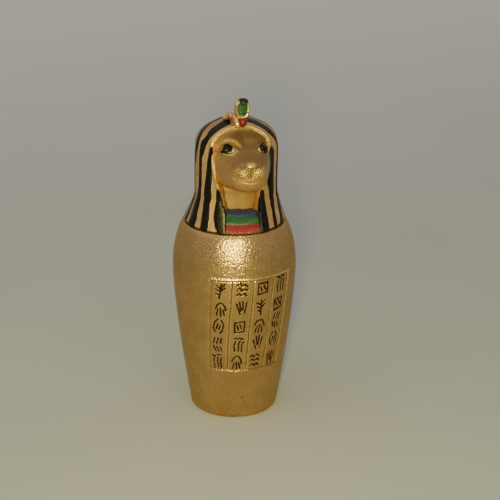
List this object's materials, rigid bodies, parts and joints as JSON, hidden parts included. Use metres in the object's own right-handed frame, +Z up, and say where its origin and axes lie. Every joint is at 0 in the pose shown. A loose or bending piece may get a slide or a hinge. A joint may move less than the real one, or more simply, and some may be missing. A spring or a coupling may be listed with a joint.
{
  "type": "canopic jar",
  "caption": "Small cast canopic jar: a hollow tapering vessel painted gold, with a framed panel on its front and a loose lid in the form of an animal's head in a striped wig.",
  "frame": {"origin": "on the vessel's axis, in the plane it stands on", "axes": "+Z up along the vessel's axis, through the crown of the lid; -Y is the front, where the lid's collar faces"},
  "size_m": [0.053, 0.0553, 0.1411],
  "materials": {
    "gold_paint": "metallic gold paint over cast resin, stippled grain, satin",
    "wig_paint": "gold paint with hand-painted black stripes and small red, green and blue areas, semi-gloss"
  },
  "bodies": {
    "root": {"jar": "gold_paint", "head_lid": "wig_paint"}
  },
  "joints": []
}
